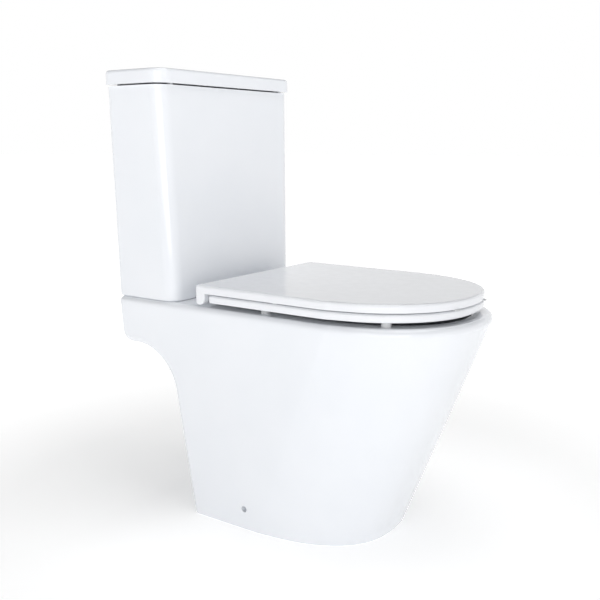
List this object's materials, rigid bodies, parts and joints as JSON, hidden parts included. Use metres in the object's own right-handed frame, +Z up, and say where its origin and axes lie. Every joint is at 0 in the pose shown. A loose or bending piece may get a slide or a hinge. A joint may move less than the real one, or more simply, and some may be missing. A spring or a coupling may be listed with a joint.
{
  "type": "close coupled toilet",
  "caption": "Close coupled toilet: flared pedestal pan with an open back, a tapered cistern with a push button lid, and a hinged seat and seat lid.",
  "frame": {"origin": "on the floor under the middle of the whole object", "axes": "+Z up, -Y towards the user at the front, +Y towards the wall, X across"},
  "size_m": [0.381, 0.642, 0.8025],
  "materials": {
    "glazed_china": "gloss glaze",
    "seat_plastic": "gloss moulded urea",
    "white_plastic": "moulded",
    "grey_plastic": "moulded",
    "blue_plastic": "moulded",
    "black_rubber": "matt",
    "clear_rubber": "soft",
    "plated_steel": "zinc plated",
    "spring_steel": "drawn wire",
    "bright_chrome": "polished"
  },
  "bodies": {
    "pan": {"pan": "glazed_china", "pan_bowl": "glazed_china", "pan_trap": "glazed_china", "cistern": "glazed_china", "coupling_plate": "plated_steel", "coupling_doughnut": "black_rubber", "coupling_bolts": "plated_steel", "coupling_rubber_washers": "black_rubber", "coupling_steel_washers": "plated_steel", "coupling_wing_nuts": "plated_steel", "flush_valve_seal": "black_rubber", "flush_valve_body": "white_plastic", "flush_valve_nut": "white_plastic", "fill_valve_body": "white_plastic", "fill_valve_seal": "black_rubber", "fill_valve_nut": "white_plastic", "inlet_strainer": "grey_plastic", "fill_valve_head": "grey_plastic", "float_arm_pin": "plated_steel", "lid_pads": "clear_rubber", "hinge_posts": "bright_chrome", "hinge_pins": "plated_steel", "soft_close_dampers": "grey_plastic", "seat_studs": "plated_steel", "seat_rubber_washers": "black_rubber", "seat_wing_nuts": "white_plastic"},
    "seat": {"seat_ring": "seat_plastic", "seat_buffers": "clear_rubber"},
    "seat_lid": {"seat_lid": "seat_plastic", "lid_buffers": "clear_rubber"},
    "cistern_lid": {"cistern_lid": "glazed_china", "button_bezel": "bright_chrome", "button_nut": "white_plastic", "full_button_spring": "spring_steel", "half_button_spring": "spring_steel"},
    "full_button": {"full_flush_button": "bright_chrome", "full_push_rod": "grey_plastic"},
    "half_button": {"half_flush_button": "bright_chrome", "half_push_rod": "grey_plastic"},
    "full_plunger": {"full_flush_plunger": "blue_plastic"},
    "half_plunger": {"half_flush_plunger": "blue_plastic"},
    "flush_core": {"flush_core": "blue_plastic", "flush_seal": "black_rubber"},
    "float": {"float_arm": "grey_plastic", "float_adjuster": "grey_plastic", "float_cup": "grey_plastic"}
  },
  "joints": [
    {"name": "seat_hinge", "type": "hinge", "parent": "pan", "child": "seat", "pos_m": [0, 0.121, 0.416], "axis": [1, 0, 0], "range_deg": [-96, 0]},
    {"name": "lid_hinge", "type": "hinge", "parent": "seat", "child": "seat_lid", "pos_m": [0, 0.121, 0.416], "axis": [-1, 0, 0], "range_deg": [0, 96]},
    {"name": "cistern_lid_lift", "type": "slide", "parent": "pan", "child": "cistern_lid", "axis": [0, 0, 1], "range_m": [0, 0.2]},
    {"name": "full_flush_press", "type": "slide", "parent": "cistern_lid", "child": "full_button", "axis": [0, 0, -1], "range_m": [0, 0.006], "stiffness_N_per_m": 400, "springref_m": -0.003, "deforming": ["full_button_spring"]},
    {"name": "half_flush_press", "type": "slide", "parent": "cistern_lid", "child": "half_button", "axis": [0, 0, -1], "range_m": [0, 0.006], "stiffness_N_per_m": 400, "springref_m": -0.003, "deforming": ["half_button_spring"]},
    {"name": "full_plunger_press", "type": "slide", "parent": "pan", "child": "full_plunger", "axis": [0, 0, -1], "range_m": [0, 0.006]},
    {"name": "half_plunger_press", "type": "slide", "parent": "pan", "child": "half_plunger", "axis": [0, 0, -1], "range_m": [0, 0.006]},
    {"name": "core_lift", "type": "slide", "parent": "pan", "child": "flush_core", "axis": [0, 0, 1], "range_m": [0, 0.012]},
    {"name": "float_hinge", "type": "hinge", "parent": "pan", "child": "float", "pos_m": [0.101, 0.253, 0.668], "axis": [0, 1, 0], "range_deg": [0, 12]}
  ],
  "couplings": [
    {"joint": "full_plunger_press", "follows": "full_flush_press", "ratio": 1},
    {"joint": "half_plunger_press", "follows": "half_flush_press", "ratio": 1},
    {"joint": "core_lift", "follows": "full_flush_press", "ratio": 2}
  ]
}
